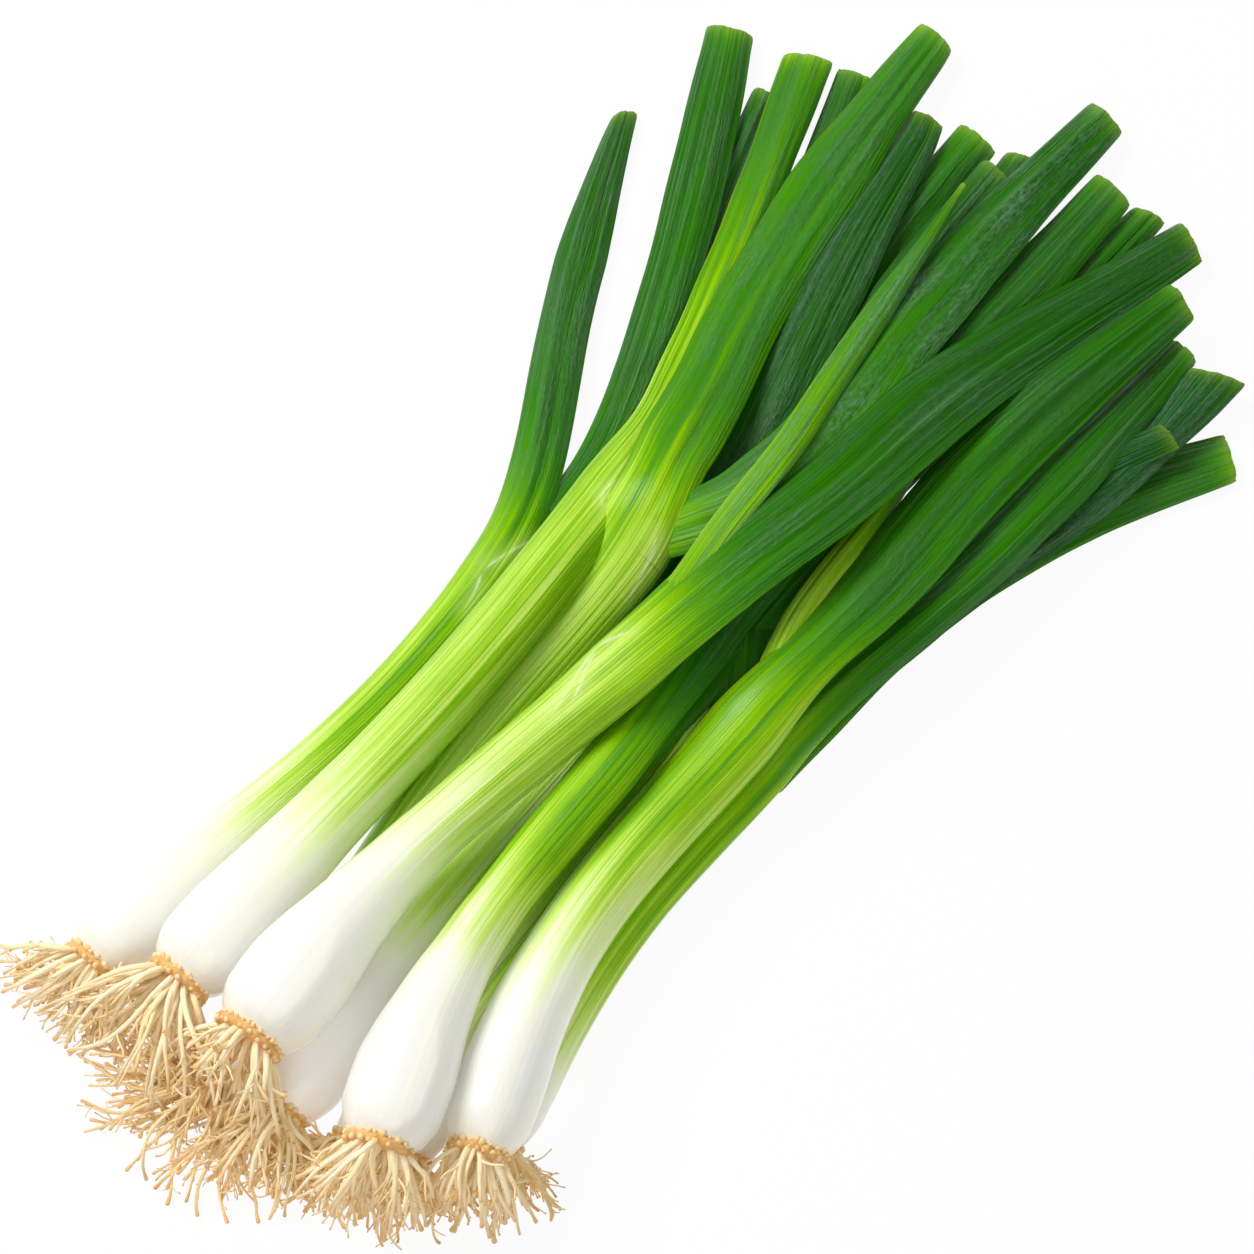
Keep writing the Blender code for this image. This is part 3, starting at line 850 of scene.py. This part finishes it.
# The plate's ring: distance from the bulb's foot, away from the roots when positive, and size.
PLATE_OUTLINE = [
    (0.7, 0.55), (0.35, 0.94), (-0.3, 1.04), (-0.9, 1.07), (-1.5, 1.0), (-2.0, 0.86), (-1.9, 0.6),
    (-1.5, 0.3), (-1.4, 0.04),
]  # fmt: skip
KNOB_STEPS = (0, 0.35, 0.7, 0.95)  # along one of its knobs


def plate_ring(skin, foot, back, out, plate, rng):
    """The corky ring that the roots grow through, with small knobs on its bulb side."""
    around = 72
    turn = turn_of(around)
    bumps = 1 + 0.07 * wander(rng, turn * plate, 2.2, 6) + 0.05 * wander(rng, turn * plate, 1.0, 6)
    rings = []
    for depth, size in PLATE_OUTLINE:
        rough = bumps if size > 0.8 else np.ones(around)
        rings.append([foot - back * depth + out(a) * plate * size * r for a, r in zip(turn, rough)])
    grain = grain_of(turn, plate, np.arange(len(rings)) * 0.8, rng.uniform(0, 400, 3))
    skin.tube(np.array(rings)[:, ::-1], {"gold": 0.8, "tint": 0.8, "grain": grain})
    knobs = round(2 * math.pi * plate / 1.9)
    for row, (depth, size, long) in enumerate(((-0.1, 1.0, 1.5), (-1.4, 1.04, 1.3))):
        for k in range(knobs):
            if row and rng.uniform() < 0.25:
                continue
            a = 2 * math.pi * (k + 0.5 * row + rng.uniform(-0.35, 0.35)) / knobs
            start = foot - back * depth + out(a) * plate * (size - 0.12)
            lean = out(a) - back * (0.55 if row == 0 else -0.1) + 0.15 * rng.normal(size=3)
            path = [start + lean * t * long * rng.uniform(0.9, 1.1) for t in KNOB_STEPS]
            radius = np.array([0.7, 0.85, 0.82, 0.62]) * rng.uniform(0.55, 1.15)
            gold = rng.uniform(0.25, 0.6) if row == 0 else 0.85
            grow_knob(skin, np.array(path), radius, rng, gold)


def grow_knob(skin, path, radius, rng, gold):
    """Adds one rounded knob, paler towards its tip."""
    ahead = (path[-1] - path[-2]) / np.linalg.norm(path[-1] - path[-2])
    path = np.concatenate([path, [path[-1] + ahead * 0.2]])
    radius = np.concatenate([radius, [0.12]])
    fade = np.array([1.0, 0.8, 0.5, 0.25, 0.1])[:, None]
    along = np.arange(len(path)) * 0.4
    values = {
        "gold": gold * fade + 0.1,
        "tint": rng.uniform(0.3, 1.0),
        "grain": grain_of(turn_of(ROOT_SIDES), 0.6, along, rng.uniform(0, 400, 3)),
    }
    skin.tube(strand(path, radius, 1.0, rng), values)


# --- Materials ---


class Nodes:
    """A material's node tree, with short ways to add to it."""

    def __init__(self, name):
        self.material = bpy.data.materials.new(name)
        self.material.use_nodes = True
        self.tree = self.material.node_tree
        self.shader = self.tree.nodes["Principled BSDF"]

    def link(self, value, socket):
        if isinstance(value, bpy.types.NodeSocket):
            self.tree.links.new(value, socket)
        else:
            socket.default_value = value

    def add(self, kind, inputs, **settings):
        made = self.tree.nodes.new(kind)
        for key, value in settings.items():
            setattr(made, key, value)
        for key, value in inputs.items():
            self.link(value, made.inputs[key])
        return made

    def set(self, name, value):
        """Gives one of the shader's own inputs a value or a link."""
        self.link(value, self.shader.inputs[name])

    def math(self, operation, a, b=0.0, clamp=False):
        made = self.add("ShaderNodeMath", {0: a, 1: b}, operation=operation)
        made.use_clamp = clamp
        return made.outputs[0]

    def times(self, a, b, clamp=False):
        return self.math("MULTIPLY", a, b, clamp)

    def plus(self, a, b, clamp=False):
        return self.math("ADD", a, b, clamp)

    def value(self, name):
        return self.add("ShaderNodeAttribute", {}, attribute_name=name).outputs["Fac"]

    def vector(self, name):
        return self.add("ShaderNodeAttribute", {}, attribute_name=name).outputs["Vector"]

    def noise(self, vector, scale, detail=3.0, roughness=0.55):
        """Noise with its own frequency along each axis."""
        drawn = self.add("ShaderNodeVectorMath", {0: vector, 1: scale}, operation="MULTIPLY")
        inputs = {"Vector": drawn.outputs[0], "Scale": 1.0}
        inputs |= {"Detail": detail, "Roughness": roughness}
        return self.add("ShaderNodeTexNoise", inputs).outputs["Fac"]

    def range(self, value, low, high, to_low=0.0, to_high=1.0):
        inputs = {"Value": value, "From Min": low, "From Max": high}
        inputs |= {"To Min": to_low, "To Max": to_high}
        return self.add("ShaderNodeMapRange", inputs).outputs["Result"]

    def mix(self, share, a, b):
        made = self.add("ShaderNodeMix", {}, data_type="RGBA")
        for socket, value in (("Factor", share), (6, a), (7, b)):  # 6 and 7 are the colours
            self.link(value, made.inputs[socket])
        return made.outputs[2]

    def ramp(self, value, stops):
        made = self.add("ShaderNodeValToRGB", {"Fac": value})
        elements = made.color_ramp.elements
        while len(elements) < len(stops):
            elements.new(0.5)
        for element, (place, colour) in zip(elements, stops):
            element.position = place
            element.color = srgb(colour)
        return made.outputs["Color"]

    def bump(self, height, strength, distance):
        inputs = {"Height": height, "Strength": strength, "Distance": distance}
        made = self.add("ShaderNodeBump", inputs)
        for name in ("Normal", "Coat Normal"):
            self.set(name, made.outputs["Normal"])


def skin_material(name, roughness, coat):
    """Skin of stalk or leaf: tone along the plant, broken by lengthwise streaks and bloom."""
    nodes = Nodes(name)
    span, times, plus, mix = nodes.range, nodes.times, nodes.plus, nodes.mix
    grain = nodes.vector("grain")
    veins = nodes.noise(grain, (1.5, 1.5, 0.007), 2.0, 0.5)
    fine = nodes.noise(grain, (3.6, 3.6, 0.02), 2.0, 0.6)
    broad = nodes.noise(grain, (0.26, 0.26, 0.005), 2.0)
    patch = nodes.noise(grain, (0.22, 0.22, 0.03), 4.0, 0.6)
    wrinkle = nodes.noise(grain, (1.3, 1.3, 0.5), 5.0, 0.65)
    tone, collar = nodes.value("tone"), nodes.value("collar")
    leafy = span(tone, 0.5, 0.75)
    streak, thread = span(veins, 0.34, 0.66, -1.0, 1.0), span(fine, 0.34, 0.66, -1.0, 1.0)
    colour = streaked(nodes, tone, leafy, streak, thread, broad, patch)
    waxy = times(span(wrinkle, 0.4, 0.7, 0.0, 0.5), span(patch, 0.4, 0.65))
    colour = mix(times(nodes.value("bloom"), waxy), colour, srgb(BLOOM))
    beside = nodes.math("POWER", span(collar, 0.0, 5.0, 1.0, 0.0), 2.0)
    colour = mix(times(beside, span(fine, 0.35, 0.62, 0.1, 0.6)), colour, srgb(BESIDE_EDGE))
    line = times(span(collar, 0.05, 0.6, 1.0, 0.0), span(veins, 0.35, 0.6, 0.15, 0.65))
    colour = mix(line, colour, srgb(SHEATH_EDGE))
    rim = nodes.value("rim")
    colour = mix(span(rim, 0.0, 1.0), colour, srgb(CUT_RIM))
    # Painted shade inside the open end of a cut leaf, where rim is below 0.
    colour = mix(span(rim, 0.0, -1.0, 0.0, 0.55), colour, srgb(CUT_HOLLOW_SHADE))
    warm = times(nodes.value("warm"), span(wrinkle, 0.3, 0.7, 0.1, 0.5))
    nodes.set("Base Color", mix(warm, colour, srgb(BULB_FOOT)))
    nodes.set("Roughness", span(patch, 0.3, 0.7, roughness - 0.07, roughness + 0.09))
    puckered = times(wrinkle, span(patch, 0.42, 0.62, 0.15, 3.0))
    height = plus(times(veins, 1.6), times(fine, 0.5))
    height = times(plus(height, times(puckered, leafy)), span(tone, 0.08, 0.34, 0.22, 1.0))
    nodes.bump(plus(height, span(collar, 0.2, 0.6, 0.25, 0.0)), 0.55, 0.0005)
    gleam = times(span(veins, 0.42, 0.68, 0.02, 0.4), span(patch, 0.35, 0.65, 0.4, 1.0))
    nodes.set("Specular IOR Level", plus(gleam, span(tone, 0.0, 0.5, 0.35, 0.0)))
    wet = span(tone, 0.1, 0.5, 0.7, coat)
    nodes.set("Coat Weight", times(wet, span(patch, 0.4, 0.62, 0.3, 1.4)))
    nodes.set("Coat Roughness", 0.18)
    nodes.set("Emission Color", (1.0, 0.97, 0.92, 1))
    # A painted glow on the white flesh lifts its shade, with more of it where bulbs under others go
    # below tone 0.
    painted_glow, more = span(tone, 0.05, 0.3, 0.07, 0.0), span(tone, -0.2, 0.0, 0.12, 0.0)
    nodes.set("Emission Strength", plus(painted_glow, more))
    return nodes.material


def streaked(nodes, tone, leafy, streak, thread, broad, patch):
    """The tone's colour, shifted by streaks, with dark and light veins where the skin is leafy."""
    span, times, plus, mix = nodes.range, nodes.times, nodes.plus, nodes.mix
    shift = plus(times(streak, span(leafy, 0.0, 1.0, 0.058, 0.05)), times(thread, 0.04))
    wide = times(span(broad, 0.3, 0.7, -0.08, 0.08), span(leafy, 0.0, 1.0, 1.0, 0.65))
    shift = plus(plus(shift, wide), span(patch, 0.3, 0.7, -0.05, 0.05))
    shift = times(shift, span(tone, 0.02, 0.3, 0.3, 1.0))
    colour = nodes.ramp(plus(tone, shift, clamp=True), TONES)
    both = plus(times(streak, 0.6), times(thread, 0.4))
    colour = mix(times(span(both, 0.1, -0.9, 0.0, 0.42), leafy), colour, srgb(DARK_VEIN))
    return mix(times(span(both, 0.1, 0.9, 0.0, 0.3), leafy), colour, srgb(LIGHT_VEIN))


def root_material():
    """Dry roots: cream to straw along each strand, golden at the plate and at the tips; the golden
    strand bases are partly painted shade, and a faint glow is painted light.
    """
    nodes = Nodes("root_fibre_detail")
    span, times, plus, mix = nodes.range, nodes.times, nodes.plus, nodes.mix
    grain = nodes.vector("grain")
    fibre = nodes.noise(grain, (2.6, 2.6, 0.35), 4.0, 0.6)
    blotch = nodes.noise(grain, (0.5, 0.5, 0.3), 3.0)
    tint = plus(nodes.value("tint"), span(fibre, 0.3, 0.7, -0.28, 0.28), clamp=True)
    gold = times(nodes.value("gold"), span(blotch, 0.3, 0.7, 0.7, 1.15), clamp=True)
    colour = mix(gold, mix(tint, srgb(ROOT_CREAM), srgb(ROOT_STRAW)), srgb(ROOT_GOLD))
    pits = times(span(fibre, 0.58, 0.75), span(gold, 0.4, 1.0, 0.1, 0.6))
    nodes.set("Base Color", mix(pits, colour, srgb(ROOT_BROWN)))
    nodes.set("Roughness", 0.6)
    nodes.set("Emission Color", (1.0, 0.62, 0.25, 1))  # painted golden glow that lifts the shade between the thin roots
    nodes.set("Emission Strength", 0.018)
    nodes.bump(fibre, 0.5, 0.0003)
    return nodes.material


# --- The scene ---


def finish_piece(piece, node):
    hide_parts(node)
    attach(piece, "root")


def grow_onions():
    stalk_look = skin_material("stalk_skin_detail", 0.34, 0.1)
    leaf_look = skin_material("leaf_skin_detail", 0.29, 0.22)
    root_look = root_material()
    for onion in ONIONS:
        stalk = Spine(onion + "_stalk")
        names = sorted(name for name in LEAVES if name.startswith(onion + "_leaf"))
        spines = {name: Spine(name) for name in names}
        main_line = Line(stalk, spines[names[-1]], SWAY.get(onion))
        skin = Skin()
        skin.tube(*stalk_skin(onion, stalk, main_line))
        finish_piece(skin.build(onion + "_stalk_skin", stalk_look), onion + "_stalk")
        leaves = []
        for name in names[:-1]:
            layer = spines[name].point(0.0) - stalk.point(stalk.length)
            fork = main_line.centres(stalk.length) + layer
            line = Line(stalk, spines[name], SWAY.get(name), fork)
            leaves.append(Leaf(name, stalk, spines[name], line, False))
        leaves.append(Leaf(names[-1], stalk, spines[names[-1]], main_line, True))
        for leaf in leaves:
            leaf.close()
        for leaf in leaves:
            skin = Skin()
            skin.tube(leaf.skin, leaf.values())
            finish_piece(skin.build(leaf.name + "_blade", leaf_look), leaf.name)
        tuft = tuft_skin(onion, Spine(onion + "_roots"), stalk, main_line)
        finish_piece(tuft.build(onion + "_root_tuft", root_look), onion + "_roots")


# Each light: where it is, the point it faces, its size and its power in watts.
LIGHTS = {
    "key": ((-0.05, 0.95, 1.15), (0, 0, 0), 0.85, 18.6),
    "fill": ((-0.9, -0.7, 1.0), (0, 0, 0), 1.2, 5.2),
    "rim": ((1.0, 0.1, 0.9), (0.05, 0, 0), 0.8, 1.2),
}
SKY, FLOOR_GLOW = 0.36, 0.93
FLOOR_HALF, FLOOR_DROP = 4.0, 0.0003


def place(name, data):
    """A new object in the scene."""
    holder = bpy.data.objects.new(name, data)
    bpy.context.scene.collection.objects.link(holder)
    return holder


def add_lights():
    world = bpy.data.worlds.new("studio")
    world.use_nodes = True
    sky = world.node_tree.nodes["Background"]
    sky.inputs["Color"].default_value = (1, 1, 1, 1)
    sky.inputs["Strength"].default_value = SKY
    bpy.context.scene.world = world
    for name, (where, aim, size, power) in LIGHTS.items():
        light = bpy.data.lights.new(name, "AREA")
        light.shape, light.size, light.energy = "DISK", size, power
        holder = place(name, light)
        holder.location = where
        holder.rotation_euler = (Vector(aim) - Vector(where)).to_track_quat("-Z", "Y").to_euler()


def add_floor():
    data = bpy.data.meshes.new("floor")
    half = FLOOR_HALF
    corners = ((-half, -half), (half, -half), (half, half), (-half, half))
    data.from_pydata([(x, y, -FLOOR_DROP) for x, y in corners], [], [(0, 1, 2, 3)])
    floor = place("floor", data)
    nodes = Nodes("floor_paper")
    nodes.set("Base Color", (0.06, 0.06, 0.06, 1))
    nodes.set("Roughness", 0.9)
    nodes.set("Specular IOR Level", 0.1)
    nodes.set("Emission Color", (1, 1, 1, 1))
    nodes.set("Emission Strength", FLOOR_GLOW)
    data.materials.append(nodes.material)


AZIMUTH, ELEVATION = math.radians(-52.7), math.radians(65)
CAMERA_REACH, CAMERA_LENS = 1.15, 132
CAMERA_AIM = Vector((-0.0017, 0.0036, 0))


def add_camera():
    level = math.cos(ELEVATION)
    back = Vector((math.sin(AZIMUTH) * level, -math.cos(AZIMUTH) * level, math.sin(ELEVATION)))
    camera = bpy.data.cameras.new("camera")
    camera.sensor_width, camera.lens = 36, CAMERA_LENS
    holder = place("camera", camera)
    holder.location = CAMERA_AIM + back * CAMERA_REACH
    holder.rotation_euler = (math.pi / 2 - ELEVATION, 0, AZIMUTH)
    bpy.context.scene.camera = holder


def main():
    grow_onions()
    add_floor()
    add_lights()
    add_camera()
    bpy.context.scene.view_settings.view_transform = "Standard"


main()
